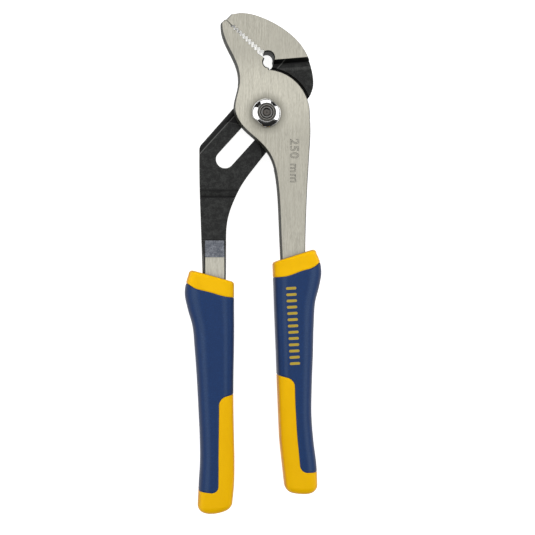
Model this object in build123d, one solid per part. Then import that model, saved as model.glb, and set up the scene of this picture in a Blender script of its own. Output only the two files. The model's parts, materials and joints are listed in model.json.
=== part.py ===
from build123d import *
from math import cos, radians, sin
import os

# Groove-joint pliers, 10 inch size, lying on their back with the jaws towards +Y
# and +Z out of the ground face.  All sizes are in millimetres.
# Outlines are written about the bolt, and place() moves every piece from there
# to the frame of the whole tool: bottom centre of its box.

PIVOT = (6.3, 75.3)          # bolt axis in the frame of the whole tool

# Levels through the thickness
BACK = 3.0                   # ground back of both levers
SEAM = 8.5                   # where the two levers slide on each other
FRONT = 14.0                 # ground front of both levers
GRIP_DEPTH = 17.0            # grips are deeper than the levers, front and back
LEVER_GAP = 0.05             # running clearance between the sliding faces
DRAFT_IN = 0.7               # forging draft: how far the ground faces step in
DRAFT_DOWN = 3.6             # forging draft: how far down the sides it reaches

# Bolt, nut and slot
BOLT_RADIUS = 4.55
BORE_RADIUS = 4.62
HEAD_RADIUS = 6.6
NUT_RADIUS = 7.35
NUT_TOP_RADIUS = 4.7
NUT_HEIGHT = 3.6
NUT_FLATS = 12.8             # across the two wrench flats
THREAD_RADIUS = 3.0
DIMPLE_RADIUS = 2.2
DIMPLE_DEPTH = 0.7
SLOT_ANGLE = 48.0            # direction of the slot, from +X
SLOT_LENGTH = 30.8           # between the centres of its two round ends
SLOT_BEVEL = 0.5             # broken edge round the front of the slot
ARM_ANGLE = 48.7             # direction of the slotted arm's straight outer edge
ARM_CORNER = 4.0             # its rounding into the handle
ARM_LENGTH = 23.0            # straight part of that edge

# Tongue and grooves
POSITIONS = 7
GROOVE_PITCH = 4.9           # six steps of this make the travel of the bolt
TONGUE_INNER = 17.8
TONGUE_OUTER = 20.3
TONGUE_HEIGHT = 1.7
TONGUE_FROM = 4.0            # angles of the tongue's ends about the bolt
TONGUE_TO = 30.0
GROOVE_SIDE_GAP = 0.2
GROOVE_FLOOR_GAP = 0.2
RELIEF_REACH = 12.2          # how far left of the slot the tongue may swing

# Jaws
JAW_TIP = (-20.5, 47.0)      # where the two jaws meet at the nose
JAW_ANGLE = -42.5            # the jaw line runs from the nose down to the pipe hole
JAW_GAP = 0.08               # half the gap between the flat noses
NOSE_FLAT = 3.3
TOOTH_PITCH = 2.07
TOOTH_DEPTH = 0.95
TEETH = 10
JAW_FLARE = 0.026            # each toothed face falls away by this much per mm
TOOTH_START = 0.7            # from the flat nose to the first tooth
JAW_LENGTH = 31.0            # from the nose to the middle of the pipe notches
UPPER_NOTCH = (0.95, 28.2, 2.95)  # pipe notch of the upper jaw: centre and radius
LOWER_NOTCH = (1.15, 25.8, 2.75)  # pipe notch of the lower jaw
NOTCH_BEVEL = 0.55           # broken front edge of both notches
HEAD_ARC = 22.5              # round shoulder of the lower jaw lever about the bolt
HEAD_ARC_END = 86            # angle where the shoulder meets the pipe notch
HEAD_GROOVE = (22.1, 24.2, 6.2)  # groove beside the shoulder: radii and floor level
HEAD_GROOVE_START = -8       # angle where that groove begins

# Grips: rounded box sections (y, left, right) from the collar to the tail
RIGHT_GRIP = [
    (-66.0, 4.0, 22.9),
    (-73.0, 3.6, 27.0),
    (-80.0, 3.8, 28.4),
    (-87.0, 4.1, 27.35),
    (-95.0, 4.35, 25.3),
    (-107.0, 4.8, 24.45),
    (-122.0, 5.4, 24.05),
    (-138.0, 5.95, 23.45),
    (-153.0, 6.55, 23.3),
    (-166.0, 7.2, 24.3),
    (-178.0, 8.45, 25.8),
    (-188.0, 9.75, 26.3),
]
LEFT_GRIP = [
    (-76.0, -36.8, -16.2),
    (-83.5, -39.8, -16.1),
    (-91.0, -41.0, -16.1),
    (-98.5, -39.6, -16.1),
    (-107.0, -37.2, -16.05),
    (-119.0, -36.0, -16.15),
    (-134.0, -34.9, -16.4),
    (-149.0, -34.1, -16.4),
    (-163.0, -33.45, -16.15),
    (-175.0, -33.25, -15.9),
    (-187.0, -33.9, -16.1),
    (-197.3, -34.55, -17.3),
]
SKIN = 2.2                   # thickness of the soft cover over the hard core
GRIP_CORNER = 6.0
TAIL_ROUND = 4.5
TAIL_SWEEP = 75             # degrees of the quarter round that the tail's edge turns
TAIL_STEPS = 4


def place(solid):
    """Move a piece from the bolt's frame to the frame of the whole tool."""
    return Pos(PIVOT[0], PIVOT[1], 0) * solid


def slab(face, low, high):
    """Extrude a flat face of the XY plane from one level to another."""
    return Pos(0, 0, low) * extrude(face, amount=high - low, dir=(0, 0, 1))


def along_slot(distance):
    """Point at a distance down the slot from its upper end."""
    return Vector(-distance, 0, 0).rotate(Axis.Z, SLOT_ANGLE)


def forged(outline):
    """Full-thickness blank with draft on its front and back edges."""
    blank = slab(make_face(outline), BACK, FRONT)
    for side in (Axis.Z, -Axis.Z):
        ground = blank.faces().sort_by(side)[-1]
        blank = chamfer(ground.edges(), DRAFT_IN, DRAFT_DOWN, reference=ground)
    return blank


def jaw_cutter(side):
    """Everything past one jaw's toothed face: side 1 is above the lower jaw."""
    points = [(-12, side * JAW_GAP), (NOSE_FLAT, side * JAW_GAP)]
    stagger = 0.25 * side * TOOTH_PITCH
    for tooth in range(TEETH):
        start = NOSE_FLAT + TOOTH_START + stagger + tooth * TOOTH_PITCH
        valley = start + 0.5 * TOOTH_PITCH
        points.append((start, side * (JAW_GAP + JAW_FLARE * (start - NOSE_FLAT))))
        points.append((valley, side * (JAW_GAP + TOOTH_DEPTH + JAW_FLARE * (valley - NOSE_FLAT))))
    points += [(JAW_LENGTH, points[-2][1]), (JAW_LENGTH, -side * 16), (-12, -side * 16)]
    cutter = make_face(Polyline(*points, close=True))
    return Pos(*JAW_TIP, 0) * Rot(0, 0, JAW_ANGLE) * slab(cutter, BACK - 5, FRONT + 5)


def notch_cutter(x, y, radius):
    """Round notch for pipe in a jaw, with a broken front edge."""
    hole = slab(Circle(radius), BACK - 5, FRONT + 5)
    mouth = Pos(0, 0, FRONT - NOTCH_BEVEL / 2) * Cone(radius, radius + NOTCH_BEVEL, NOTCH_BEVEL)
    return Pos(x, y, 0) * (hole + mouth)


def ring_part(inner, outer, start, end, low, high):
    """Part of a ring about the origin between two angles and two levels."""
    reach = 3 * outer
    first = Vector(reach, 0, 0).rotate(Axis.Z, start)
    middle = Vector(reach, 0, 0).rotate(Axis.Z, (start + end) / 2)
    last = Vector(reach, 0, 0).rotate(Axis.Z, end)
    wedge = make_face(Polyline((0, 0), first, middle, last, close=True))
    return slab((Circle(outer) - Circle(inner)) & wedge, low, high)


def lower_jaw_outline():
    """Outline of the front lever, with spare metal past the jaw line."""
    inner_side = Spline(
        (-22.9, 45.6), (-20.0, 34.0), (-14.9, 23.0), (-14.1, 14.5), (-16.3, 1.5), (-12.2, -7.0),
        (-4.1, -14.4), (2.1, -22.0), (5.3, -33.5), (6.8, -56.0), (7.8, -78.0), (10.6, -150.0),
    )
    outer_side = Spline(
        (18.4, -150.0), (19.9, -76.0), (21.1, -38.0), (22.4, -16.5), (22.75, -8.0), (HEAD_ARC, 0),
        tangents=[(0.02, 1), (0, 1)],
    )
    tang_end = Line(inner_side @ 1, outer_side @ 0)
    shoulder_end = Vector(HEAD_ARC, 0, 0).rotate(Axis.Z, HEAD_ARC_END)
    shoulder = RadiusArc((HEAD_ARC, 0), shoulder_end, -HEAD_ARC)
    spare = Polyline(shoulder_end, (3.0, 33.0), (-12.0, 50.0), (-20.0, 48.4), (-22.9, 45.6))
    return inner_side + tang_end + outer_side + shoulder + spare


def lower_jaw_lever():
    """Front lever: lower jaw, flat head over the slot, tongue and right tang."""
    lever = forged(lower_jaw_outline())
    joint = Polyline(
        (-40, 14.8), (-6.7, 14.8), (0.9, 23.7), (6, 40), (60, 40), (60, -18), (23, -19.2),
        (1, -29.5), (-40, -29.5), close=True,
    )
    lever -= slab(make_face(joint), BACK - 5, SEAM)
    lever -= jaw_cutter(-1)
    lever -= notch_cutter(*LOWER_NOTCH)
    lever -= slab(Circle(BORE_RADIUS), BACK, FRONT + 5)
    tongue = ring_part(
        TONGUE_INNER, TONGUE_OUTER, TONGUE_FROM, TONGUE_TO, SEAM - TONGUE_HEIGHT, SEAM + 0.5
    )
    return place(lever + tongue)


def upper_jaw_outline():
    """Outline of the slotted lever, with spare metal past the jaw line."""
    waist = Line((20.6, 6.6), (0, -19.8))
    crown = Spline(
        (-13.4, 51.0), (-1.8, 48.8), (10.8, 42.0), (19.7, 32.8), (24.2, 20.0), waist @ 0,
        tangents=[(1, 0.05), waist % 0],
    )
    belly = Spline(
        waist @ 1, (-8.0, -30.0), (-12.6, -36.8), (-15.4, -42.4), (-18.1, -49.2), (-19.8, -57.0),
        (-20.1, -66.0), (-20.2, -84.0), (-21.4, -155.0), tangents=[waist % 1, (-0.015, -1)],
    )
    outer_side = Spline(
        (-29.0, -155.0), (-31.9, -84.0), (-32.85, -56.0), (-33.55, -34.0), (-33.65, -18.2),
        tangents=[(-0.03, 1), (0, 1)],
    )
    tang_end = Line(belly @ 1, outer_side @ 0)
    corner = JernArc(outer_side @ 1, (0, 1), ARM_CORNER, ARM_ANGLE - 90)
    arm = Line(corner @ 1, corner @ 1 + ARM_LENGTH * (corner % 1))
    neck = Polyline(arm @ 1, (1.5, 23.1), (-0.5, 26.0), (-24.0, 43.5), (-17.6, 50.3), (-13.4, 51.0))
    return crown + waist + belly + tang_end + outer_side + corner + arm + neck


def across(profile, turn=0):
    """Long prism along X from a profile of (y, level) points."""
    wire = Polyline(*[(0, y, z) for y, z in profile], close=True)
    bar = extrude(make_face(wire), amount=90, dir=(1, 0, 0), both=True)
    return Rot(0, 0, turn) * bar


def front_relief():
    """Metal taken off the slotted lever's front so that the other lever fits."""
    seam = SEAM - LEVER_GAP
    under_jaw = across([(25.2, seam), (26.7, FRONT + 1), (-4, FRONT + 1), (-4, seam)], turn=5.4)
    over_arm = across(
        [
            (8, seam), (-38.4, seam), (-42.1, seam - 1.0), (-42.1, seam), (-51.5, seam),
            (-63.6, seam + 1.7), (-64.2, seam + 1.2), (-72.9, FRONT), (-72.9, FRONT + 1), (8, FRONT + 1),
        ]
    )
    return under_jaw + over_arm


def slot_cutter():
    """Long slot that the bolt slides in, with a broken edge at its lower front end."""
    middle = Pos(-SLOT_LENGTH / 2, 0)
    rail = slab(middle * SlotCenterToCenter(SLOT_LENGTH, 2 * BORE_RADIUS), BACK - 1, FRONT)
    seam = SEAM - LEVER_GAP
    mouth = Pos(-SLOT_LENGTH, 0, seam - SLOT_BEVEL / 2) * Cone(
        BORE_RADIUS, BORE_RADIUS + SLOT_BEVEL, SLOT_BEVEL
    )
    return Rot(0, 0, SLOT_ANGLE) * (rail + mouth)


def groove_cutter():
    """Curved grooves on the right of the slot and open relief on its left."""
    seam = SEAM - LEVER_GAP
    floor = SEAM - TONGUE_HEIGHT - GROOVE_FLOOR_GAP
    inner = TONGUE_INNER - GROOVE_SIDE_GAP
    outer = TONGUE_OUTER + GROOVE_SIDE_GAP
    grooves = []
    for step in range(POSITIONS):
        ring = ring_part(inner, outer, SLOT_ANGLE - 60, SLOT_ANGLE + 40, floor, seam + 1)
        grooves.append(Pos(along_slot(step * GROOVE_PITCH)) * ring)
    travel = (POSITIONS - 1) * GROOVE_PITCH
    lane = Rot(0, 0, SLOT_ANGLE) * slab(
        Pos(outer / 2, RELIEF_REACH / 2) * Rectangle(6 * outer, RELIEF_REACH), floor, seam + 1
    )
    pad = Pos(along_slot(travel)) * slab(Circle(inner), BACK, FRONT)
    behind = Pos(along_slot(travel + 40)) * Rot(0, 0, SLOT_ANGLE) * Box(80, 60, 40)
    reach = slab(Circle(outer), BACK, FRONT)
    for step in range(1, POSITIONS):
        reach += Pos(along_slot(step * GROOVE_PITCH)) * slab(Circle(outer), BACK, FRONT)
    relief = (lane & reach) - pad - behind
    right_side = Rot(0, 0, SLOT_ANGLE) * Pos(0, -50, 0) * Box(200, 100, 60)
    cutter = relief
    for groove in grooves:
        cutter += groove & right_side
    return cutter


def head_groove():
    """Curved groove in the web beside the other lever's round shoulder."""
    inner, outer, floor = HEAD_GROOVE
    return ring_part(inner, outer, HEAD_GROOVE_START, HEAD_ARC_END, floor, SEAM)


def upper_jaw_lever():
    """Slotted lever: upper jaw, web, slot with grooves and left tang."""
    lever = forged(upper_jaw_outline())
    lever -= front_relief()
    lever -= jaw_cutter(1)
    lever -= notch_cutter(*UPPER_NOTCH)
    lever -= notch_cutter(*LOWER_NOTCH)
    lever -= slot_cutter()
    lever -= groove_cutter()
    lever -= head_groove()
    return place(lever)


def pivot_bolt():
    """Bolt with its round head behind the slotted lever and a staked end."""
    head = slab(Circle(HEAD_RADIUS), 0, BACK - LEVER_GAP)
    head = chamfer(head.edges().sort_by(Axis.Z)[0], 1.0)
    shank = slab(Circle(BOLT_RADIUS), BACK - LEVER_GAP, FRONT)
    thread = slab(Circle(THREAD_RADIUS), FRONT, FRONT + NUT_HEIGHT - 0.2)
    bolt = head + shank + thread
    top = bolt.faces().sort_by(Axis.Z)[-1]
    bolt = chamfer(top.edges(), 0.3)
    dimple = Pos(0, 0, FRONT + NUT_HEIGHT - 0.2 - DIMPLE_DEPTH / 2) * Cone(
        DIMPLE_RADIUS - 0.7, DIMPLE_RADIUS, DIMPLE_DEPTH
    )
    return place(bolt - dimple)


def pivot_nut():
    """Domed nut with two wrench flats."""
    base = FRONT + LEVER_GAP
    top = FRONT + NUT_HEIGHT
    section = Polyline(
        (THREAD_RADIUS, base), (NUT_RADIUS, base), (NUT_RADIUS, base + 0.6),
        (NUT_TOP_RADIUS, top), (THREAD_RADIUS + 0.3, top), (THREAD_RADIUS, top - 0.3), close=True,
    )
    upright = Plane.XZ * make_face(section)
    nut = revolve(upright, axis=Axis.Z)
    flats = Rot(0, 0, SLOT_ANGLE) * Pos(0, 0, (base + top) / 2) * Box(NUT_FLATS, 30, 30)
    return place(nut & flats)


def grip_section(y, left, right, inset=0.0):
    """Rounded box across a grip, drawn in by an inset all round."""
    plane = Plane(origin=((left + right) / 2, y, GRIP_DEPTH / 2), x_dir=(1, 0, 0), z_dir=(0, -1, 0))
    return plane * RectangleRounded(right - left - 2 * inset, GRIP_DEPTH - 2 * inset, GRIP_CORNER - inset)


def grip_body(stations, inset=0.0):
    """Smooth loft through the sections of a grip."""
    return loft([grip_section(*station, inset) for station in stations])


def tail_cap(y, left, right):
    """Rounded end below the last section of a grip."""
    sections = []
    for step in range(TAIL_STEPS + 1):
        turn = radians(TAIL_SWEEP * step / TAIL_STEPS)
        sections.append(grip_section(y - TAIL_ROUND * sin(turn), left, right, TAIL_ROUND * (1 - cos(turn))))
    return loft(sections, ruled=True)


def halfplane(point, angle):
    """Everything above a slanting line through a point, as a thick slab."""
    return Pos(point[0], point[1], 0) * Rot(0, 0, angle) * Pos(0, 100, 0) * Box(200, 200, 60)


def grip(stations, top, top_angle, collar, collar_angle, tail, tang):
    """Hard two-ended core and the soft cover that fills its waist."""
    outer = grip_body(stations) - halfplane(top, top_angle) + tail_cap(*stations[-1])
    inner = grip_body(stations, SKIN) - halfplane(top, top_angle)
    tail_zone = slab(make_face(tail), -5, GRIP_DEPTH + 5)
    waist = outer - halfplane(collar, collar_angle) - tail_zone
    cover = waist - inner - tang
    core = outer - cover - tang
    return core, cover


def right_grip(tang):
    """Grip on the tang of the lower jaw lever."""
    edge = Polyline((0, -131.0), (9.5, -133.4))
    corner = Spline((9.5, -133.4), (13.6, -136.6), (14.6, -142), tangents=[(1, -0.25), (0.05, -1)])
    side = Spline((14.6, -142), (15.6, -160), (17.2, -177.5), tangents=[(0.03, -1), (0.1, -1)])
    heel = Spline((17.2, -177.5), (18.5, -180.8), (21.5, -181.7), tangents=[(0.1, -1), (1, 0)])
    rest = Polyline((21.5, -181.7), (40, -181.7), (40, -210), (0, -210), (0, -131.0))
    tail = edge + corner + side + heel + rest
    return grip(RIGHT_GRIP, (3.6, -75.3), 17.8, (4.2, -84.4), 20.8, tail, tang)


def left_grip(tang):
    """Grip on the tang of the upper jaw lever."""
    edge = Polyline((-10, -140.6), (-20.0, -143.2))
    corner = Spline((-20.0, -143.2), (-22.9, -145.4), (-23.9, -150), tangents=[(-1, -0.25), (0, -1)])
    side = Line((-23.9, -150), (-24.2, -187))
    heel = Spline((-24.2, -187), (-25.6, -190.1), (-29.0, -191.4), tangents=[(0, -1), (-1, 0)])
    rest = Polyline((-29.0, -191.4), (-50, -189.4), (-50, -220), (-10, -220), (-10, -140.6))
    tail = edge + corner + side + heel + rest
    return grip(LEFT_GRIP, (-38.1, -79.1), -15.6, (-40.1, -85.9), -16.3, tail, tang)


lower_lever = lower_jaw_lever()
upper_lever = upper_jaw_lever()
right_core, right_cover = right_grip(Pos(-PIVOT[0], -PIVOT[1], 0) * lower_lever)
left_core, left_cover = left_grip(Pos(-PIVOT[0], -PIVOT[1], 0) * upper_lever)

nodes = {
    "lower_jaw_lever": lower_lever,
    "upper_jaw_lever": upper_lever,
    "pivot_bolt": pivot_bolt(),
    "pivot_nut": pivot_nut(),
    "right_grip_core": place(right_core),
    "right_grip_cover": place(right_cover),
    "left_grip_core": place(left_core),
    "left_grip_cover": place(left_cover),
}

os.makedirs("parts", exist_ok=True)
for name, solid in nodes.items():
    export_step(solid, f"parts/{name}.step")
box = Compound(children=[solid for solid in nodes.values()]).bounding_box()
print("box", box.min, box.max)
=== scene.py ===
"""Groove-joint pliers: looks, marks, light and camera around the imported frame.

Lengths are written in millimetres about the bolt's axis, the way the tool is drawn,
and turned into metres in the frame of the whole tool where a mesh is made.
"""

import json
import math

import bpy
import numpy as np
from mathutils import Matrix, Vector

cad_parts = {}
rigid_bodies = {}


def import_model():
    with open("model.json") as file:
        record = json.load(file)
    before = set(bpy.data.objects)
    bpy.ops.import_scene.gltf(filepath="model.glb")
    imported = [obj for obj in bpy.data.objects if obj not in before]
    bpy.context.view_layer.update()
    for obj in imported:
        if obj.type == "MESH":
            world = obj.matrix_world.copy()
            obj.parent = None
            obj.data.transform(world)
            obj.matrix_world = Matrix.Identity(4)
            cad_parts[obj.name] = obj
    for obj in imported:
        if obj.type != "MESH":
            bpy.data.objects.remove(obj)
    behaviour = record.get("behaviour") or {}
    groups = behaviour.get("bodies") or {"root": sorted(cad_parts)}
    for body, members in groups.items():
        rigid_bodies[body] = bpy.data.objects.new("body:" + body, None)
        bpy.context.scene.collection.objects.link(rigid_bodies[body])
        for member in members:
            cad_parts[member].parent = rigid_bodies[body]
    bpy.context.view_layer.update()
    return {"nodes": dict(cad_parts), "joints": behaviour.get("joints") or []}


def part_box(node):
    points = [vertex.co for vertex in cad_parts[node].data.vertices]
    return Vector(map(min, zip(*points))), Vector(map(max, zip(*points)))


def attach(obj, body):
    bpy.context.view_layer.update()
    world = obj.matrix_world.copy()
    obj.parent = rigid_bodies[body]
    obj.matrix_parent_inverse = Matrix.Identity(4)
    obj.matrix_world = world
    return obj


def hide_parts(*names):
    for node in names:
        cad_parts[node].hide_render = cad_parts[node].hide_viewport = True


bl_info = {
    "name": "Groove-joint pliers",
    "version": (1, 0, 0),
    "blender": (4, 5, 0),
    "location": "View3D > Sidebar > Pliers",
    "description": "Grips, nut, bolt, marks, finishes and stage for groove-joint pliers",
    "category": "Add Mesh",
}

for leftover in list(bpy.data.objects):
    bpy.data.objects.remove(leftover)
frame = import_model()

MM = 0.001
HINGE = next(joint for joint in frame["joints"] if joint["type"] == "hinge")
BOLT_X, BOLT_Y = (coordinate / MM for coordinate in HINGE["pos_m"][:2])
LEVER_LOW, LEVER_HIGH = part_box("lower_jaw_lever")
BACK, FRONT = LEVER_LOW[2] / MM, LEVER_HIGH[2] / MM
GRIP_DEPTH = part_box("right_grip_core")[1][2] / MM
NUT_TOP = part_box("pivot_nut")[1][2] / MM
BOLT_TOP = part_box("pivot_bolt")[1][2] / MM
SLIDE = next(joint for joint in frame["joints"] if joint["type"] == "slide")
SLOT_ANGLE = math.degrees(math.atan2(SLIDE["axis"][1], SLIDE["axis"][0]))

# Grips: (y, left, right) of the rounded box sections from the collar to the tail.
# "outer" is +1 where the palm side faces +X.
RIGHT_GRIP = {
    "outer": 1,
    "stations": (
        (-66.0, 4.0, 22.9), (-73.0, 3.6, 27.0), (-80.0, 3.8, 28.38), (-87.0, 4.1, 27.35),
        (-95.0, 4.35, 25.3), (-107.0, 4.8, 24.45), (-122.0, 5.4, 24.05), (-138.0, 5.95, 23.45),
        (-153.0, 6.55, 23.3), (-166.0, 7.2, 24.3), (-178.0, 8.45, 25.8), (-192.5, 10.1, 26.4),
    ),
    "rim": ((3.6, -75.3), (28.0, -67.5)),
    "collar": ((4.2, -82.9), (9.8, -82.4), (17.4, -79.8), (25.0, -77.2), (27.6, -75.4)),
    "tail_end": ((10.0, -191.4), (20.5, -192.35), (26.0, -191.8)),
    "strip_top": ((0.0, -130.7), (9.5, -133.1)),
    "strip_side": ((-200.0, 18.5), (-177.5, 16.8), (-160.0, 15.2), (-142.0, 14.3), (-125.0, 14.1)),
    "heel": ((10.0, -181.1), (26.0, -181.3)),
    "tang": "lower_jaw_lever",
}
LEFT_GRIP = {
    "outer": -1,
    "stations": (
        (-76.0, -36.8, -16.2), (-83.5, -39.8, -16.1), (-91.0, -41.0, -16.1), (-98.5, -39.6, -16.1),
        (-107.0, -37.2, -16.05), (-119.0, -36.0, -16.15), (-134.0, -34.9, -16.4), (-149.0, -34.1, -16.4),
        (-163.0, -33.45, -16.15), (-175.0, -33.25, -15.9), (-187.0, -33.9, -16.1), (-202.0, -34.65, -17.6),
    ),
    "rim": ((-38.1, -79.1), (-16.0, -85.3)),
    "collar": ((-40.6, -85.8), (-37.0, -87.9), (-28.7, -90.3), (-20.4, -92.6), (-16.0, -93.1)),
    "tail_end": ((-34.5, -201.3), (-26.0, -201.55), (-17.5, -199.7)),
    "strip_top": ((-10.0, -140.0), (-20.0, -142.5)),
    "strip_side": ((-205.0, -24.5), (-187.0, -24.2), (-170.0, -24.1), (-150.0, -23.9), (-135.0, -23.9)),
    "heel": ((-36.0, -190.0), (-16.0, -191.9)),
    "tang": "upper_jaw_lever",
}


def linear(red, green, blue):
    """Linear colour of a display colour given in 0 to 255."""
    display = np.array((red, green, blue)) / 255
    light = np.where(display <= 0.04045, display / 12.92, ((display + 0.055) / 1.055) ** 2.4)
    return tuple(float(channel) for channel in light)


def size_property(name, description, millimetres):
    """A length in millimetres that a user may change."""
    return bpy.props.FloatProperty(name=name, description=description, default=millimetres)


def colour_property(name, description, *display):
    """A colour that a user may change, whose default is given in 0 to 255."""
    return bpy.props.FloatVectorProperty(
        name=name, description=description, subtype="COLOR", default=linear(*display)
    )


class PliersSizes(bpy.types.PropertyGroup):
    """Sizes of the parts that are built here, in millimetres."""

    seam_round: size_property("Seam rounding", "Edge radius where the two grip materials meet", 0.6)
    rim_round: size_property("Rim rounding", "Edge radius of the collar's top on the inner side", 1.2)
    rim_palm_round: size_property("Palm rim rounding", "Edge radius of the top on the palm side", 2.7)
    tail_round: size_property("Tail rounding", "Edge radius round the grip's end", 3.6)
    collar_gap: size_property("Collar gap", "Open gap between the collar and the tang", 0.5)
    nut_radius: size_property("Nut radius", "Radius of the domed nut", 7.35)
    nut_flats: size_property("Nut flats", "Distance across the nut's two flats", 12.8)
    head_radius: size_property("Bolt head radius", "Radius of the round head at the back", 6.6)
    mark_length: size_property("Mark length", "Length of the etched size mark", 22.0)


class PliersColours(bpy.types.PropertyGroup):
    """Base colours of the finishes."""

    ground: colour_property("Ground steel", "Satin ground faces", 177, 174, 162)
    forged: colour_property("Forged steel", "Drafted side walls", 50, 50, 43)
    blackened: colour_property("Black oxide", "Blackened steel", 36, 37, 36)
    polished: colour_property("Polished steel", "Plated nut", 238, 238, 238)
    yellow: colour_property("Yellow", "Hard core of the grips", 246, 190, 0)
    blue: colour_property("Blue", "Soft cover of the grips", 12, 47, 94)
    ink: colour_property("Ink", "Printed bars on the right grip", 186, 160, 50)


# The satin patch on the slotted lever's tang: its middle and half its width
TANG_MIDDLE, TANG_HALF = -25.95, 4.75
# The ends of the slotted lever's row of teeth
TOOTH_ROW = ((-17.7, 44.4), (-1.9, 29.9))
# The printed bars on the right grip: the row's two ends, and each bar's sizes
BAR_ROW = ((12.3, -88.4), (14.2, -125.9))
BAR_PITCH = 3.15
BAR_LENGTH = 5.2
BAR_WIDTH = 1.35

# Points round a grip's section, and rows down its side, its roundings and its ends
AROUND = 220
SIDE_ROWS = 300
RIM_ROWS = 8
TAIL_ROWS = 16
CAP_ROWS = 26
# How square the sections are on the palm side and on the inner side
OUTER_SQUARENESS = 2.9
INNER_SQUARENESS = 4.2
# How deep each grip material lies under the other, how far the cover runs on under the
# core, and the rounding of its hidden ends
UNDERLAP = 1.0
OVERRUN = 3.5
COVER_ROUND = 0.5

# The camera and the point it is aimed at, in millimetres about the bolt and over the floor
CAMERA_PLACE = (-43.4, -81.7, 608.5)
CAMERA_TARGET = (1.0, -77.9, 8.5)
CAMERA_LENS = 79.6

# Shader building


class Value:
    """A number socket whose operators add Math nodes, so that maths reads as maths."""

    def __init__(self, tree, socket):
        self.tree, self.socket = tree, socket

    def _math(self, operation, *operands):
        node = self.tree.nodes.new("ShaderNodeMath")
        node.operation = operation
        for socket, operand in zip(node.inputs, operands):
            if isinstance(operand, Value):
                self.tree.links.new(operand.socket, socket)
            else:
                socket.default_value = operand
        return Value(self.tree, node.outputs[0])

    def __add__(self, other):
        return self._math("ADD", self, other)

    def __sub__(self, other):
        return self._math("SUBTRACT", self, other)

    def __rsub__(self, other):
        return self._math("SUBTRACT", other, self)

    def __mul__(self, other):
        return self._math("MULTIPLY", self, other)

    def __truediv__(self, other):
        return self._math("DIVIDE", self, other)

    def __pow__(self, other):
        return self._math("POWER", self, other)

    def __abs__(self):
        return self._math("ABSOLUTE", self)

    __radd__ = __add__
    __rmul__ = __mul__

    def largest(self, other):
        return self._math("MAXIMUM", self, other)

    def wrapped(self, low, high):
        return self._math("WRAP", self, high, low)


class Nodes:
    """A node tree under construction: node() adds any node, Value does the arithmetic."""

    def __init__(self, tree):
        self.tree = tree

    def node(self, kind, settings=None, inputs=None, out=0):
        """Add a node: its settings first, then the values or links of its sockets."""
        made = self.tree.nodes.new(kind)
        for key, setting in (settings or {}).items():
            setattr(made, key, setting)
        for key, content in (inputs or {}).items():
            if isinstance(content, Value):
                self.tree.links.new(content.socket, made.inputs[key])
            else:
                made.inputs[key].default_value = content
        return Value(self.tree, made.outputs[out]) if made.outputs else None

    def step(self, value, low, high):
        """0 below low, 1 above high, smooth between."""
        inputs = {"Value": value, "From Min": low, "From Max": high}
        return self.node("ShaderNodeMapRange", {"interpolation_type": "SMOOTHSTEP"}, inputs)

    def band(self, value, rise, fall):
        """0 outside a band and 1 in it, with a smooth rise and fall given as (low, high)."""
        return self.step(value, *rise) * (1 - self.step(value, *fall))

    def mix(self, factor, first, second):
        """Colour between two colours."""
        inputs = {0: factor, 6: as_colour(first), 7: as_colour(second)}
        return self.node("ShaderNodeMix", {"data_type": "RGBA"}, inputs, out=2)


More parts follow.
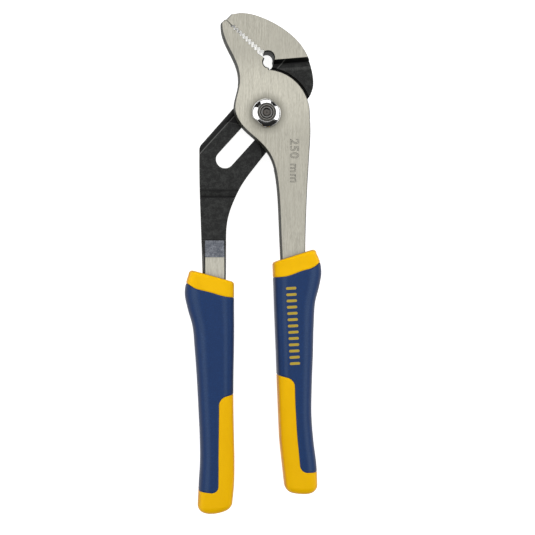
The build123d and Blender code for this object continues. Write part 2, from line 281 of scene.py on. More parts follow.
class Finish(Nodes):
    """A material under construction, laid out by the place on the piece."""

    def __init__(self, name):
        self.material = bpy.data.materials.new(name)
        self.material.use_nodes = True
        self.material.node_tree.nodes.clear()
        super().__init__(self.material.node_tree)
        self.place = self.node("ShaderNodeTexCoord", out="Object")

    def part_of(self, vector, axis):
        """X, Y or Z of a vector."""
        return self.node("ShaderNodeSeparateXYZ", inputs={"Vector": vector}, out=axis)

    def about_bolt(self):
        """Place across and along the tool, in millimetres from the bolt's axis."""
        return self.part_of(self.place, "X") / MM - BOLT_X, self.part_of(self.place, "Y") / MM - BOLT_Y

    def level(self):
        """Height over the floor, in millimetres."""
        return self.part_of(self.place, "Z") / MM

    def line(self, start, end):
        """Distance along a line between two points, distance aside from it, and its length."""
        x, y = self.about_bolt()
        length = math.dist(start, end)
        run, rise = (end[0] - start[0]) / length, (end[1] - start[1]) / length
        along = (x - start[0]) * run + (y - start[1]) * rise
        aside = abs((y - start[1]) * run - (x - start[0]) * rise)
        return along, aside, length

    def mix_vector(self, factor, first, second):
        """Direction between two directions."""
        inputs = {0: factor, 4: first, 5: second}
        return self.node("ShaderNodeMix", {"data_type": "VECTOR"}, inputs, out=1)

    def scaled(self, colour, factor):
        """A colour made lighter or darker."""
        inputs = {0: colour, 3: factor}
        return self.node("ShaderNodeVectorMath", {"operation": "SCALE"}, inputs)

    def noise(self, scale, detail=2.0, roughness=0.5, stretch=None):
        """Noise over the piece: scale is in features per metre, stretch scales its axes."""
        where = self.place
        if stretch:
            where = self.node("ShaderNodeMapping", inputs={"Vector": where, "Scale": stretch})
        inputs = {"Vector": where, "Scale": scale, "Detail": detail, "Roughness": roughness}
        return self.node("ShaderNodeTexNoise", inputs=inputs, out=0)

    def turning(self, along, detail):
        """Noise that changes along one number only, as a lathe leaves it."""
        inputs = {"W": along, "Detail": detail}
        return self.node("ShaderNodeTexNoise", {"noise_dimensions": "1D"}, inputs)

    def radius(self):
        """Distance from the bolt's axis, in millimetres."""
        x, y = self.about_bolt()
        return (x**2 + y**2) ** 0.5

    def facing(self, axis):
        """One part of the surface's normal."""
        return self.part_of(self.node("ShaderNodeNewGeometry", out="Normal"), axis)

    def openness(self, reach):
        """1 on open faces, falling towards 0 deep in corners, within a reach in millimetres."""
        inputs = {"Distance": reach * MM}
        return self.node("ShaderNodeAmbientOcclusion", {"samples": 8}, inputs, out="AO")

    def painted_edge_shading(self, radius):
        """1 on sharp edges and 0 away from them, with the rounded normal that shows it; the mask paints
        highlights and shade along edges.
        """
        rounded = self.node("ShaderNodeBevel", {"samples": 6}, {"Radius": radius * MM})
        plain = self.node("ShaderNodeNewGeometry", out="Normal")
        inputs = {0: rounded, 1: plain}
        alike = self.node("ShaderNodeVectorMath", {"operation": "DOT_PRODUCT"}, inputs, out="Value")
        return 1 - self.step(alike, 0.86, 0.995), rounded

    def bump(self, height, depth, normal=None):
        """Normal of a relief whose height runs from 0 to 1 over a depth in millimetres."""
        inputs = {"Height": height, "Distance": depth * MM, "Strength": 1.0}
        if normal is not None:
            inputs["Normal"] = normal
        return self.node("ShaderNodeBump", inputs=inputs)

    def done(self, inputs):
        """Close the material with one surface shader."""
        shader = self.node("ShaderNodeBsdfPrincipled", inputs=inputs)
        self.node("ShaderNodeOutputMaterial", inputs={"Surface": shader})
        return self.material


def as_colour(content):
    """A colour socket's content, with alpha where plain numbers are given."""
    return content if isinstance(content, Value) else (*tuple(content)[:3], 1.0)


def shade(colour, factor):
    """A plain colour made lighter or darker."""
    return tuple(channel * factor for channel in tuple(colour)[:3])


def grey(level):
    """A plain linear grey."""
    return (level, level, level)


def colours():
    return bpy.context.scene.pliers_colours


def sizes():
    return bpy.context.scene.pliers_sizes


def satin_steel(finish, shelter, edge_shading):
    """Ground steel brushed along the tool: its colour, and its grain from 0 to 1.

    It is lightest on the head, darker towards the tang, with painted shade round the nut and in corners,
    and painted shade along its edges.
    """
    paint = colours()
    streak = finish.noise(1.0, 3.0, 0.7, stretch=(2600.0, 110.0, 2600.0))
    fine = finish.noise(1.0, 2.0, 0.6, stretch=(5200.0, 520.0, 5200.0))
    cloud = finish.noise(45.0, 2.0)
    grain = streak * 0.55 + fine * 0.45
    _, y = finish.about_bolt()
    head = finish.band(y, (-14.0, 6.0), (18.0, 32.0))
    ground = finish.mix(head, shade(paint.ground, 0.84), paint.ground)
    recess_painted_dark, bright = finish.scaled(ground, 0.74), finish.scaled(ground, 1.12)
    base = finish.mix(finish.step(grain, 0.37, 0.62), recess_painted_dark, bright)
    base = finish.mix(finish.step(cloud, 0.3, 0.7) * 0.5, base, finish.scaled(ground, 0.88))
    # Painted shade in a ring round the nut
    painted_nut_shade = 1 - finish.step(finish.radius(), 7.0, 12.0)
    base = finish.mix(painted_nut_shade * 0.55, base, (0.14, 0.135, 0.11))
    # Painted shade: darker deep in corners, from ambient occlusion
    base = finish.mix((1 - finish.step(shelter, 0.35, 1.0)) * 0.6, base, (0.10, 0.095, 0.08))
    # Painted shade: the satin is darkened along its edges
    return finish.mix(edge_shading * 0.55, base, (0.16, 0.16, 0.145)), grain


def crusty_black(finish, walls, shelter, edge_shading):
    """Rough dark skin of a forging, with painted shade in corners and painted highlights on edges: its
    colour, and its relief from 0 to 1.
    """
    mottle = finish.noise(380.0, 5.0, 0.7)
    scale = finish.noise(1700.0, 3.0, 0.6)
    relief = mottle * 0.55 + scale * 0.45
    base = finish.mix(finish.step(relief, 0.42, 0.62), shade(walls, 0.35), shade(walls, 1.8))
    # Painted shade: near black deep in corners, from ambient occlusion
    base = finish.mix((1 - finish.step(shelter, 0.35, 1.0)) * 0.95, base, grey(0.0005))
    # Painted highlight: lighter lines along the edges
    return finish.mix(edge_shading * 0.7, base, (0.17, 0.17, 0.16)), relief


def tang_skin(finish, front, satin, dark, relief):
    """The slotted lever's handle: where it is ground, its satin and its dark skin.

    A lighter satin patch on the tang stands in from the sides, and the slope above it
    has a mottled blue-grey scale, painted lighter as a reflection of the light above.
    """
    x, y = finish.about_bolt()
    inside = 1 - finish.step(abs(x - TANG_MIDDLE), TANG_HALF - 0.15, TANG_HALF + 0.15)
    inside = inside.largest(finish.step(y, -60.0, -59.0))
    satin = finish.mix(1 - finish.step(y, -75.0, -72.0), satin, finish.scaled(satin, 1.12))
    slope = finish.band(y, (-72.9, -72.6), (-64.3, -64.0))
    slope = slope * inside * finish.step(finish.facing("Z"), 0.75, 0.85)
    # Mottled blue-grey scale, painted lighter as a reflection of the light above
    scale_and_reflection = finish.mix(finish.step(relief, 0.40, 0.64), (0.085, 0.095, 0.115), (0.24, 0.25, 0.28))
    return front * inside, satin, finish.mix(slope, dark, scale_and_reflection)


def painted_light_and_shade_lines(finish, dark, relief):
    """The slotted lever's dark skin with painted lines of light and shade.

    The web has painted shadow under the jaw's ledge and painted shade in the curved gutter
    beside the shoulder, with a painted highlight along a ridge between them.  The arm has a painted
    highlight line and a painted shadow line along its outer edge, and the handle has two painted shadow
    lines across it.
    """
    x, y = finish.about_bolt()
    web = finish.step(x, 2.0, 4.0) * finish.step(y, -1.0, 3.0)
    below_ledge = x * math.tan(math.radians(5.4)) + 26.7 - y
    # Painted shadow on the web under the jaw's ledge
    dark = finish.mix(web * (1 - finish.step(below_ledge, 1.4, 2.6)), dark, grey(0.0008))
    # Painted highlight along a ridge on the web
    ridge = web * finish.band(below_ledge, (3.6, 4.2), (4.6, 6.2))
    dark = finish.mix(ridge * 0.55 * relief, dark, (0.12, 0.12, 0.115))
    beside_slot = y * math.cos(math.radians(SLOT_ANGLE)) - x * math.sin(math.radians(SLOT_ANGLE))
    # Painted shadow in a band along the arm's outer edge
    shadow = finish.band(beside_slot, (11.5, 11.7), (13.0, 13.4))
    dark = finish.mix(shadow * 0.85, dark, grey(0.001))
    # Painted highlight line along the arm's outer edge
    rail = finish.band(beside_slot, (10.9, 11.15), (11.35, 11.6))
    dark = finish.mix(rail * 0.7, dark, (0.13, 0.13, 0.125))
    # Painted shadow at a crease across the handle, with fainter painted shade above it
    across = finish.band(y, (-42.9, -42.5), (-42.0, -41.6))
    across = across.largest(0.6 * finish.band(y, (-39.4, -38.9), (-38.4, -37.6)))
    dark = finish.mix(across, dark, grey(0.001))
    # Painted shade in the curved gutter beside the shoulder
    gutter = web * finish.band(finish.radius(), (21.0, 21.4), (23.9, 24.4))
    return finish.mix(gutter, dark, grey(0.0008))


def toothed_face(finish, relief):
    """1 on the cut faces of the slotted lever's teeth, where painted light goes, broken by scale near the
    nose.
    """
    along, aside, length = finish.line(*TOOTH_ROW)
    cut = finish.band(along, (0.0, 0.5), (length - 0.5, length)) * (1 - finish.step(aside, 2.6, 3.0))
    scale = (1 - finish.step(along, 3.0, 8.0)) * finish.step(relief, 0.47, 0.55)
    return cut * (1 - scale * 0.85)


def lever_finish(name, walls, slotted):
    """Steel lever: satin on its two flat levels, and walls in another finish.

    The slotted lever has painted lines of light and shade and a patch on its tang, and its toothed
    face is painted near white and made to glow as painted light.
    """
    finish = Finish(name)
    depth = 0.03
    level = finish.level()
    front = finish.step(level, FRONT - 2 * depth, FRONT - depth)
    back = 1 - finish.step(level, BACK + depth, BACK + 2 * depth)
    edge_shading, rounded = finish.painted_edge_shading(0.4)
    # Ambient occlusion, used to paint shade into corners
    shelter = finish.openness(5.0)
    satin, grain = satin_steel(finish, shelter, edge_shading)
    dark, relief = crusty_black(finish, walls, shelter, edge_shading)
    if slotted:
        front, satin, dark = tang_skin(finish, front, satin, dark, relief)
        # Painted light: the tooth faces are painted near white
        cut = toothed_face(finish, relief)
        dark = finish.mix(cut, painted_light_and_shade_lines(finish, dark, relief), (0.93, 0.92, 0.88))
    ground = front.largest(back)
    dark_bump, satin_bump = finish.bump(relief, 0.10, rounded), finish.bump(grain, 0.012, rounded)
    inputs = {
        "Base Color": finish.mix(ground, dark, satin),
        "Metallic": ground * 0.92,
        "Roughness": ground * (0.33 + grain * 0.14) + (1 - ground) * (0.42 + relief * 0.3),
        "Normal": finish.mix_vector(ground, dark_bump, satin_bump),
        "Specular IOR Level": 0.22,
    }
    if slotted:
        # Painted glow: the tooth faces give off light though they are no lamp
        inputs["Emission Color"] = finish.mix(cut * (1 - ground), grey(0), (0.72, 0.72, 0.70))
        inputs["Emission Strength"] = 0.7
    return finish.done(inputs)


def polished_finish():
    """Bright plating with faint turning marks, and a rougher recess round the bolt's end painted dark for
    the dark surroundings it reflects.
    """
    finish = Finish("plated_steel")
    radius = finish.radius()
    turning = finish.turning(radius * 9.0, 2.0)
    smudge = finish.noise(260.0, 3.0)
    base = finish.mix(smudge * 0.5, colours().polished, shade(colours().polished, 0.82))
    recess = 1 - finish.step(radius, 4.65, 4.8)
    ring = recess * finish.band(radius, (3.35, 3.5), (3.75, 3.9))
    # The recess is painted dark for the dark surroundings it reflects
    recess_painted_dark = finish.mix(finish.step(turning, 0.35, 0.65), (0.035, 0.034, 0.031), (0.09, 0.088, 0.08))
    base = finish.mix(recess, base, finish.mix(ring * 0.6, recess_painted_dark, (0.30, 0.29, 0.27)))
    inputs = {
        "Base Color": base,
        "Metallic": 1.0,
        "Roughness": 0.06 + smudge * 0.08 + recess * 0.25,
        "Normal": finish.bump(turning, 0.003),
    }
    return finish.done(inputs)


def bolt_finish():
    """Dull machined steel painted dark for the dark surroundings its end reflects, with turning marks and
    painted shade in its dimple.
    """
    finish = Finish("machined_steel")
    radius = finish.radius()
    turning = finish.turning(radius * 5.0, 3.0)
    stain = finish.noise(900.0, 4.0, 0.6)
    # Painted shade in the dimple of the bolt's end
    deep = 1 - finish.step(radius, 1.9, 2.3)
    # The steel is painted dark for the dark surroundings its end reflects
    base = finish.mix(finish.step(turning, 0.35, 0.65), (0.07, 0.069, 0.065), (0.19, 0.187, 0.18))
    base = finish.mix(deep * 0.75, base, (0.055, 0.05, 0.046))
    base = finish.mix(finish.step(stain, 0.5, 0.75) * 0.5, base, (0.12, 0.085, 0.06))
    inputs = {
        "Base Color": base,
        "Metallic": 0.9,
        "Roughness": 0.26 + stain * 0.25,
        "Normal": finish.bump(turning * 0.5 + stain * 0.5, 0.03),
    }
    return finish.done(inputs)


def yellow_finish():
    """Moulded hard plastic: faint mottling, deeper towards the tail, with painted shade turning the sides
    deeper orange.
    """
    finish = Finish("yellow_plastic")
    paint = colours()
    cloud = finish.noise(160.0, 3.0)
    grit = finish.noise(5200.0, 2.0)
    # Painted shade: the sides turn deeper orange
    side = 1 - finish.step(abs(finish.facing("Z")), 0.05, 0.8)
    _, y = finish.about_bolt()
    low = 1 - finish.step(y, -170.0, -85.0)
    base = finish.mix(low * 0.6, paint.yellow, shade(paint.yellow, 0.86))
    base = finish.mix(side * 0.85, base, (0.42, 0.15, 0.0))
    base = finish.mix(finish.step(cloud, 0.35, 0.7) * 0.35, base, (0.82, 0.44, 0.0))
    inputs = {
        "Base Color": base,
        "Roughness": 0.34 + cloud * 0.12,
        "Normal": finish.bump(grit * 0.5 + cloud * 0.5, 0.012),
        "Specular IOR Level": 0.06,
    }
    return finish.done(inputs)


def blue_finish(name, outer, printed):
    """Soft rubber with a fine speckle: a broad soft painted highlight down the palm side, a narrow one
    down the inner side and painted shade on the flanks, with printed bars where asked."""
    finish = Finish(name)
    paint = colours()
    inputs = {"Vector": finish.place, "Scale": 2600.0}
    pebble = finish.node("ShaderNodeTexVoronoi", inputs=inputs, out="Distance")
    speck = finish.noise(2400.0, 3.0, 0.65)
    cloud = finish.noise(140.0, 3.0)
    palm, inner = finish.facing("X") * outer, finish.facing("X") * -outer
    # Painted highlight bands down the palm side and the inner side
    painted_highlight = finish.band(palm, (0.06, 0.26), (0.30, 0.60))
    painted_highlight = painted_highlight + 0.8 * finish.band(inner, (0.05, 0.14), (0.16, 0.36))
    # Painted shade on the flanks
    flank_shade = finish.step(abs(palm), 0.55, 0.98)
    base = finish.mix(finish.step(speck, 0.45, 0.66) * 0.55, paint.blue, shade(paint.blue, 1.9))
    base = finish.mix(cloud * 0.35, base, shade(paint.blue, 0.75))
    base = finish.mix(painted_highlight * (0.02 + speck * 0.50), base, (0.075, 0.12, 0.21))
    base = finish.mix(flank_shade * 0.6, base, (0.002, 0.009, 0.034))
    rough = 0.40 + speck * 0.12
    if printed:
        ink = printed_bars(finish)
        base = finish.mix(ink, base, finish.mix(speck * 0.5, paint.ink, shade(paint.ink, 0.75)))
        rough = rough - ink * 0.08
    inputs = {
        "Base Color": base,
        "Roughness": rough,
        "Normal": finish.bump((1 - pebble) * 0.4 + speck * 0.6, 0.07),
        "Specular IOR Level": 0.2,
    }
    return finish.done(inputs)


def printed_bars(finish):
    """1 inside a row of round-ended bars down the front of the grip, else 0.

    Along the row the distance is wrapped to one bar's pitch.  A bar is every point
    within half its width of a short line across the row.
    """
    along, aside, length = finish.line(*BAR_ROW)
    half = BAR_PITCH / 2
    near = along.wrapped(-half, half)
    past = (aside - (BAR_LENGTH - BAR_WIDTH) / 2).largest(0.0)
    distance = (near**2 + past**2) ** 0.5
    bar = 1 - finish.step(distance, BAR_WIDTH / 2 - 0.08, BAR_WIDTH / 2 + 0.08)
    inside = finish.band(along, (-half, -half + 0.01), (length + half - 0.01, length + half))
    front = finish.step(finish.level(), GRIP_DEPTH - 5, GRIP_DEPTH - 4)
    return bar * inside * front


def etched_finish():
    """Dark etched line."""
    finish = Finish("etched_line")
    speck = finish.noise(4000.0, 2.0)
    base = finish.mix(speck, (0.13, 0.125, 0.11), (0.30, 0.29, 0.26))
    return finish.done({"Base Color": base, "Metallic": 0.4, "Roughness": 0.45 + speck * 0.2})


def floor_finish():
    """Matt pale floor."""
    finish = Finish("pale_floor")
    cloud = finish.noise(3.0, 2.0)
    base = finish.mix(cloud, grey(0.50), grey(0.54))
    inputs = {
        "Base Color": base,
        "Roughness": 0.9 - cloud * 0.1,
        "Specular IOR Level": 0.0,
        "Emission Color": (1.0, 1.0, 1.0, 1.0),
        "Emission Strength": 0.85,
    }
    return finish.done(inputs)


# Geometry


def smooth_curve(points, at):
    """Smooth curve through (position, value) points: cubic pieces whose slope at each
    point is the mean of its neighbours' slopes."""
    points = np.array(points)
    points = points[np.argsort(points[:, 0])]
    knots, values = points[:, 0], points[:, 1]
    slopes = np.gradient(values, knots)
    inside = np.clip(at, knots[0], knots[-1])
    left = np.clip(np.searchsorted(knots, inside) - 1, 0, len(knots) - 2)
    width = knots[left + 1] - knots[left]
    t = (inside - knots[left]) / width
    start = values[left] * (1 + 2 * t) * (1 - t) ** 2 + slopes[left] * width * t * (1 - t) ** 2
    end = values[left + 1] * t**2 * (3 - 2 * t) + slopes[left + 1] * width * t**2 * (t - 1)
    beyond = (at - inside) * np.where(at < inside, slopes[0], slopes[-1])
    return start + end + beyond


def smooth_step(value, low, high):
    """0 below low, 1 above high, with a level start and end."""
    t = np.clip((value - low) / (high - low), 0, 1)
    return t * t * (3 - 2 * t)


def surface(name, points, ring=False, flip=False):
    """Mesh of a grid of points, in millimetres about the bolt, closed round each row.

    With ring the last row joins the first; otherwise each end row is closed by a fan
    to its middle.  flip turns the faces round.
    """
    rows, around = points.shape[:2]
    index = np.arange(rows * around).reshape(rows, around)
    following = np.roll(index, -1, axis=1)
    if ring:
        lower, lower_following = np.roll(index, -1, axis=0), np.roll(following, -1, axis=0)
        quads = np.stack([index, following, lower_following, lower], axis=-1).reshape(-1, 4)
        vertices, fans = points.reshape(-1, 3), []
    else:
        quads = np.stack([index[:-1], following[:-1], following[1:], index[1:]], axis=-1).reshape(-1, 4)
        middles = np.array([points[0].mean(axis=0), points[-1].mean(axis=0)])
        vertices = np.concatenate([points.reshape(-1, 3), middles])
        first, last = rows * around, rows * around + 1
        top = np.stack([np.full(around, first), following[0], index[0]], axis=-1)
        bottom = np.stack([np.full(around, last), index[-1], following[-1]], axis=-1)
        fans = np.concatenate([top, bottom])
    faces = [quads[:, ::-1] if flip else quads]
    if len(fans):
        faces.append(fans[:, ::-1] if flip else fans)
    mesh = bpy.data.meshes.new(name)
    placed = (vertices + (BOLT_X, BOLT_Y, 0)) * MM
    mesh.from_pydata(placed.tolist(), [], [face for group in faces for face in group.tolist()])
    mesh.shade_smooth()
    mesh.validate()
    made = bpy.data.objects.new(name, mesh)
    bpy.context.scene.collection.objects.link(made)
    return made


def wear_finish(piece, material):
    """Give a piece, or a carried-over CAD node, its one material."""
    if not piece.data.materials:
        piece.data.materials.append(material)
    for index in range(len(piece.data.materials)):
        piece.data.materials[index] = material


def round_both(first, second, radius):
    """Distance outside the overlap of two regions, with a round outer corner."""
    reach = np.hypot(np.maximum(first + radius, 0), np.maximum(second + radius, 0))
    return np.minimum(-radius, np.maximum(first, second)) + reach


def round_either(first, second, radius):
    """Distance outside two regions taken together, with a round inner corner."""
    reach = np.hypot(np.maximum(radius - first, 0), np.maximum(radius - second, 0))
    return np.maximum(radius, np.minimum(first, second)) - reach


def cover_distance(grip, x, y):
    """Distance inside the blue cover, below zero in the yellow collar, strip and tail."""
    strip_top = np.polyfit(*zip(*grip["strip_top"]), 1)
    strip_side = smooth_curve(grip["strip_side"], y)
    heel = np.polyfit(*zip(*grip["heel"]), 1)
    beside = grip["outer"] * (x - strip_side)
    above = (y - np.polyval(strip_top, x)) * math.cos(math.atan(strip_top[0]))
    strip = round_both(beside, above, 3.4)
    tail = y - np.polyval(heel, x)
    yellow = round_either(strip, tail, 3.6)
    collar = (smooth_curve(grip["collar"], x) - y) * 0.95
    return np.minimum(yellow, collar)


def tang_box(node, y):
    """Left, right, low and high side of a CAD node where it crosses a level of y."""
    mesh = frame["nodes"][node].data
    points = np.empty(len(mesh.vertices) * 3)
    mesh.vertices.foreach_get("co", points)
    points = points.reshape(-1, 3) / MM - (BOLT_X, BOLT_Y, 0)
    edges = np.empty(len(mesh.edges) * 2, int)
    mesh.edges.foreach_get("vertices", edges)
    start, end = points[edges[::2]], points[edges[1::2]]
    crossing = (start[:, 1] - y) * (end[:, 1] - y) < 0
    start, end = start[crossing], end[crossing]
    share = (y - start[:, 1]) / (end[:, 1] - start[:, 1])
    cut = start + (end - start) * share[:, None]
    return cut[:, 0].min(), cut[:, 0].max(), cut[:, 2].min(), cut[:, 2].max()


def grip_points(grip, top, end, rim, tail, inside):
    """Rounded box swept from a slanting top line to a curved end line.

    A section is the curve |x/a|^n + |z/b|^n = 1 in polar form, where n grows from the
    palm side to the inner side.  rim is the top edge's rounding on the inner side and on
    the palm side, and tail the rounding of the end.  Rows run from the middle of the top
    cap, over the rim, down the side, round the tail and to the middle of the end.  inside
    is the sign that picks which of the two materials the surface belongs to: it sinks by
    a round edge and then an underlap where the other material lies on top.
    """
    turn = np.linspace(0, 2 * np.pi, AROUND, endpoint=False)[None, :]
    cosine, sine = np.cos(turn), np.sin(turn)
    palm = 0.5 + 0.5 * grip["outer"] * cosine
    power = INNER_SQUARENESS + (OUTER_SQUARENESS - INNER_SQUARENESS) * palm
    reach = (np.abs(cosine) ** power + np.abs(sine) ** power) ** (-1 / power)

    rim = rim[0] + (rim[1] - rim[0]) * palm**2
    rim_turn = np.linspace(np.pi / 2, 0, RIM_ROWS, endpoint=False)
    tail_turn = np.linspace(0, np.pi / 2, TAIL_ROWS + 1)[1:]
    cap = np.linspace(0.04, 1, CAP_ROWS, endpoint=False)
    ends, side, whole = np.zeros(CAP_ROWS), np.zeros(SIDE_ROWS), np.ones(CAP_ROWS)
    no_rim, no_tail = np.zeros(RIM_ROWS), np.zeros(TAIL_ROWS)

    def rows(*parts):
        return np.concatenate(parts)[:, None]

    share = rows(ends, no_rim, np.linspace(0, 1, SIDE_ROWS), no_tail + 1, whole)
    inset = rim * rows(whole, 1 - np.cos(rim_turn), side, no_tail, ends)
    inset = inset + tail * rows(ends, no_rim, side, 1 - np.cos(tail_turn), whole)
    lift = rim * rows(whole, np.sin(rim_turn), side, no_tail, ends)
    lift = lift - tail * rows(ends, no_rim, side, np.sin(tail_turn), whole)
    shrink = rows(cap, no_rim + 1, side + 1, no_tail + 1, cap[::-1])

    stations = np.array(grip["stations"])
    left_side, right_side = stations[:, [0, 1]], stations[:, [0, 2]]
    x = np.full((len(share), AROUND), stations[:, 1:].mean())
    sunk = np.zeros_like(x)
    for _ in range(6):
        y = (top(x) - rim) * (1 - share) + (end(x) + tail) * share
        left, right = smooth_curve(left_side, y), smooth_curve(right_side, y)
        half = (right - left) / 2 - inset - sunk
        x = (left + right) / 2 + half * shrink * reach * cosine
        distance = inside * cover_distance(grip, x, y + lift)
        edge = sizes().seam_round
        rounding = edge - np.sqrt(np.maximum(edge**2 - np.clip(edge - distance, 0, edge) ** 2, 0))
        sunk = 0.55 * rounding + UNDERLAP * smooth_step(-distance, 0, edge)
    z = GRIP_DEPTH / 2 + (GRIP_DEPTH / 2 - inset - sunk) * shrink * reach * sine
    return np.stack([x, y + lift, z], axis=-1)


def core_points(grip):
    """The yellow core, with a pocket round the tang in its top cap."""
    rim_line = np.polyfit(*zip(*grip["rim"]), 1)
    points = grip_points(
        grip,
        lambda x: np.polyval(rim_line, x),
        lambda x: smooth_curve(grip["tail_end"], x),
        (sizes().rim_round, sizes().rim_palm_round), sizes().tail_round, -1,
    )
    stations = np.array(grip["stations"])
    middle_x = stations[0, 1:].mean()
    left, right, low, high = tang_box(grip["tang"], np.polyval(rim_line, middle_x))
    cap = points[:CAP_ROWS]
    aside = np.abs(cap[..., 0] - (left + right) / 2) - (right - left) / 2
    above = np.abs(cap[..., 2] - (low + high) / 2) - (high - low) / 2
    gap = sizes().collar_gap
    cap[..., 1] -= 3.0 * (1 - smooth_step(np.maximum(aside, above), gap * 0.6, gap * 1.5))
    return points


def cover_points(grip):
    """The blue cover, which runs on a little way under the collar and the tail."""
    heel = np.polyfit(*zip(*grip["heel"]), 1)
    return grip_points(
        grip,
        lambda x: smooth_curve(grip["collar"], x) + OVERRUN,
        lambda x: np.polyval(heel, x) - OVERRUN,
        (COVER_ROUND, COVER_ROUND), COVER_ROUND, 1,
    )


def rounded_profile(corners, closed, steps=6):
    """Profile of (radius, height, rounding) corners, each a curve from one side to the next.

    A curve is (1-t)^2 start + 2t(1-t) corner + t^2 end, where start and end lie the
    corner's rounding away from it.
    """
    corners = np.array(corners, float)
    corners, rounds = corners[:, :2], corners[:, 2:]
    before, after = np.roll(corners, 1, axis=0), np.roll(corners, -1, axis=0)
    if not closed:
        before[0], after[-1] = corners[0] + (1, 0), corners[-1] + (1, 0)

    def toward(other):
        away = other - corners
        return corners + away / np.linalg.norm(away, axis=1, keepdims=True) * rounds

    t = np.linspace(0, 1, steps)[None, :, None]
    start, end = toward(before)[:, None], toward(after)[:, None]
    curve = (1 - t) ** 2 * start + 2 * t * (1 - t) * corners[:, None] + t**2 * end
    return curve.reshape(-1, 2)


def turned(profile, flat_width=None, flat_angle=0.0, around=256):
    """Profile of (radius, height) turned about the bolt, with two flats if asked.

    A flat limits the radius to half its width over the cosine of the angle from it,
    and the two meet in a narrow round.
    """
    turn = np.linspace(0, 2 * np.pi, around, endpoint=False)[None, :]
    radius = np.repeat(profile[:, :1], around, axis=1)
    if flat_width:
        limit = flat_width / 2 / np.maximum(np.abs(np.cos(turn - math.radians(flat_angle))), 0.05)
        blend = 0.12
        radius = (radius + limit - np.sqrt((radius - limit) ** 2 + blend**2)) / 2 + blend**2 / 8
    height = np.repeat(profile[:, 1:], around, axis=1)
    return np.stack([radius * np.cos(turn), radius * np.sin(turn), height], axis=-1)


def upright_view(place, target):
    """Rotation of a camera that looks from a place at a target with +Y upward in the view."""
    backward = (place - target).normalized()
    rightward = Vector((0, 1, 0)).cross(backward).normalized()
    upward = backward.cross(rightward)
    return Matrix((rightward, upward, backward)).transposed().to_euler()


# Operators


class PLIERS_OT_levers(bpy.types.Operator):
    """Finish the two steel levers"""

    bl_idname = "pliers.levers"
    bl_label = "Levers"

    def execute(self, context):
        paint = colours()
        lower = lever_finish("ground_lever_steel", paint.forged, False)
        upper = lever_finish("blackened_lever_steel", paint.blackened, True)
        wear_finish(frame["nodes"]["lower_jaw_lever"], lower)
        wear_finish(frame["nodes"]["upper_jaw_lever"], upper)
        return {"FINISHED"}


class PLIERS_OT_grips(bpy.types.Operator):
    """Build the yellow cores and blue covers of both grips"""

    bl_idname = "pliers.grips"
    bl_label = "Grips"

    def execute(self, context):
        yellow = yellow_finish()
        sides = ("right", RIGHT_GRIP, "lower_half"), ("left", LEFT_GRIP, "upper_half")
        for side, grip, body in sides:
            core = surface(f"{side}_core", core_points(grip))
            cover = surface(f"{side}_cover", cover_points(grip))
            wear_finish(core, yellow)
            wear_finish(cover, blue_finish(f"blue_rubber_{side}", float(grip["outer"]), side == "right"))
            for piece, node, slot in (
                (core, f"{side}_grip_core", "yellow_core"),
                (cover, f"{side}_grip_cover", "blue_cover"),
            ):
                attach(piece, body)
                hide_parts(node)
        return {"FINISHED"}


class PLIERS_OT_fastener(bpy.types.Operator):
    """Build the domed nut and the bolt"""

    bl_idname = "pliers.fastener"
    bl_label = "Nut and bolt"

    def execute(self, context):
        size = sizes()
        outer, base = size.nut_radius, FRONT + 0.05
        # From the bore along the base, up the wall and over the dome, and down into the recess
        nut = rounded_profile([
            (3.0, base, 0.1), (outer, base, 0.15), (outer, base + 1.3, 0.3), (6.3, base + 2.35, 0.9),
            (4.75, NUT_TOP - 0.25, 0.12), (4.6, NUT_TOP - 0.5, 0.08), (3.9, NUT_TOP - 0.45, 0.08),
            (3.75, NUT_TOP, 0.08), (3.4, NUT_TOP, 0.08), (3.05, NUT_TOP - 0.7, 0.1),
        ], True)
        dome = surface("domed_nut", turned(nut, size.nut_flats, SLOT_ANGLE), ring=True)
        wear_finish(dome, polished_finish())
        # From the dimple in its end, down the thread and the shank, to the back of its head
        head, under = size.head_radius, BACK - 0.05
        bolt = rounded_profile([
            (0.3, BOLT_TOP - 0.7, 0.1), (1.55, BOLT_TOP - 0.7, 0.12), (2.2, BOLT_TOP, 0.15),
            (2.95, BOLT_TOP, 0.25), (2.95, FRONT, 0.05), (4.5, FRONT - 0.3, 0.05), (4.5, under, 0.1),
            (head, under, 0.15), (head, 1.1, 0.4), (5.6, 0.1, 0.6), (0.3, 0.0, 0.1),
        ], False)
        shank = surface("bolt", turned(bolt), flip=True)
        wear_finish(shank, bolt_finish())
        for piece, node in ((dome, "pivot_nut"), (shank, "pivot_bolt")):
            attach(piece, "pivot")
            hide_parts(node)
        return {"FINISHED"}


class PLIERS_OT_size_mark(bpy.types.Operator):
    """Etch the tool's length on the front lever"""

    bl_idname = "pliers.size_mark"
    bl_label = "Size mark"

    def execute(self, context):
        text = bpy.data.curves.new("size_mark_text", "FONT")
        text.body = "250 mm"
        text.size = 1.0
        text.align_x, text.align_y = "CENTER", "CENTER"
        text.fill_mode = "NONE"
        text.bevel_depth = 0.018
        text.bevel_resolution = 1
        text.space_character = 1.12
        draft = bpy.data.objects.new("size_mark_text", text)
        context.scene.collection.objects.link(draft)
        context.view_layer.update()
        drawn = draft.evaluated_get(context.evaluated_depsgraph_get())
        mesh = bpy.data.meshes.new_from_object(drawn)
        bpy.data.objects.remove(draft)
        reach = [vertex.co.x for vertex in mesh.vertices]
        span = max(reach) - min(reach)
        scale = sizes().mark_length * MM / span
        middle = Vector(((BOLT_X + 14.0) * MM, (BOLT_Y - 24.0) * MM, FRONT * MM))
        turn = Matrix.Rotation(-math.pi / 2, 4, "Z")
        mesh.transform(Matrix.Translation(middle) @ turn @ Matrix.Scale(scale, 4))
        mark = bpy.data.objects.new("etched_size_mark", mesh)
        context.scene.collection.objects.link(mark)
        wear_finish(mark, etched_finish())
        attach(mark, "lower_half")
        return {"FINISHED"}


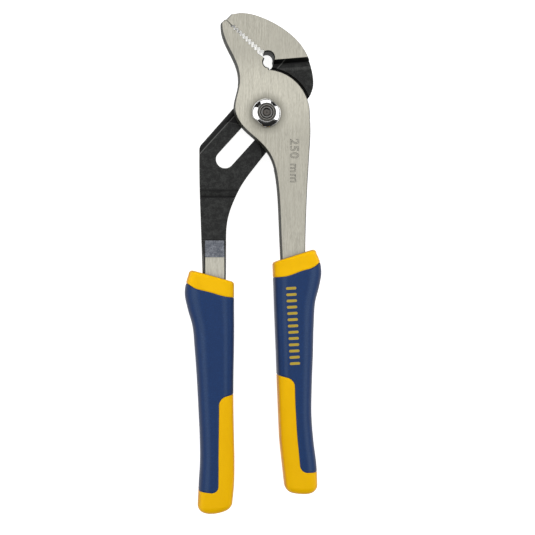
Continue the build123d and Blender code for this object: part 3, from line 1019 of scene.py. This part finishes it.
class PLIERS_OT_stage(bpy.types.Operator):
    """Lay the floor and set the soft lights, the surroundings and the camera"""

    bl_idname = "pliers.stage"
    bl_label = "Stage"

    def execute(self, context):
        scene = context.scene
        scene.view_settings.view_transform = "Standard"
        half, level = 3.0, -0.0002
        corners = [(-half, -half, level), (half, -half, level), (half, half, level), (-half, half, level)]
        mesh = bpy.data.meshes.new("floor")
        mesh.from_pydata(corners, [], [(0, 1, 2, 3)])
        floor = bpy.data.objects.new("floor", mesh)
        scene.collection.objects.link(floor)
        wear_finish(floor, floor_finish())

        for name, place, width, height, radiance in (
            ("overhead", (0.0, 0.2, 1.3), 1.5, 1.2, 1.15),
            ("left_box", (-0.80, 0.05, 0.42), 1.10, 0.66, 1.7),
            ("right_box", (0.80, 0.12, 0.42), 1.10, 0.66, 1.7),
            ("top_box", (0.0, 0.95, 0.42), 0.80, 0.62, 1.7),
        ):
            lamp = bpy.data.lights.new(name, "AREA")
            lamp.shape, lamp.size, lamp.size_y = "RECTANGLE", width, height
            lamp.energy = radiance * math.pi * width * height
            lit = bpy.data.objects.new(name, lamp)
            lit.location = place
            lit.rotation_euler = (-Vector(place)).to_track_quat("-Z", "Y").to_euler()
            scene.collection.objects.link(lit)

        world = bpy.data.worlds.new("studio")
        world.use_nodes = True
        world.node_tree.nodes.clear()
        room = Nodes(world.node_tree)
        direction = room.node("ShaderNodeTexCoord", out="Generated")
        height = room.node("ShaderNodeSeparateXYZ", inputs={"Vector": direction}, out="Z")
        glow = room.mix(room.step(height, 0.5, 0.95), grey(0.02), grey(0.6))
        sky = room.node("ShaderNodeBackground", inputs={"Color": glow})
        room.node("ShaderNodeOutputWorld", inputs={"Surface": sky})
        scene.world = world

        lens = bpy.data.cameras.new("camera")
        lens.sensor_width, lens.lens = 36.0, CAMERA_LENS
        camera = bpy.data.objects.new("camera", lens)
        bolt = Vector((BOLT_X, BOLT_Y, 0))
        camera.location = (bolt + Vector(CAMERA_PLACE)) * MM
        target = (bolt + Vector(CAMERA_TARGET)) * MM
        camera.rotation_euler = upright_view(camera.location, target)
        scene.collection.objects.link(camera)
        scene.camera = camera
        return {"FINISHED"}


OPERATORS = (PLIERS_OT_levers, PLIERS_OT_grips, PLIERS_OT_fastener, PLIERS_OT_size_mark, PLIERS_OT_stage)


class PLIERS_PT_panel(bpy.types.Panel):
    """The pliers' pieces"""

    bl_idname = "PLIERS_PT_panel"
    bl_label = "Groove-joint pliers"
    bl_space_type = "VIEW_3D"
    bl_region_type = "UI"
    bl_category = "Pliers"

    def draw(self, context):
        for group in (context.scene.pliers_sizes, context.scene.pliers_colours):
            for name in group.bl_rna.properties.keys():
                if name not in ("rna_type", "name"):
                    self.layout.prop(group, name)
        for operator in OPERATORS:
            self.layout.operator(operator.bl_idname)


CLASSES = (PliersSizes, PliersColours, *OPERATORS, PLIERS_PT_panel)


def register():
    for kind in CLASSES:
        bpy.utils.register_class(kind)
    bpy.types.Scene.pliers_sizes = bpy.props.PointerProperty(type=PliersSizes)
    bpy.types.Scene.pliers_colours = bpy.props.PointerProperty(type=PliersColours)


def unregister():
    del bpy.types.Scene.pliers_colours
    del bpy.types.Scene.pliers_sizes
    for kind in reversed(CLASSES):
        bpy.utils.unregister_class(kind)


def main():
    register()
    for step in ("levers", "grips", "fastener", "size_mark", "stage"):
        getattr(bpy.ops.pliers, step)()


if __name__ == "__main__":
    main()
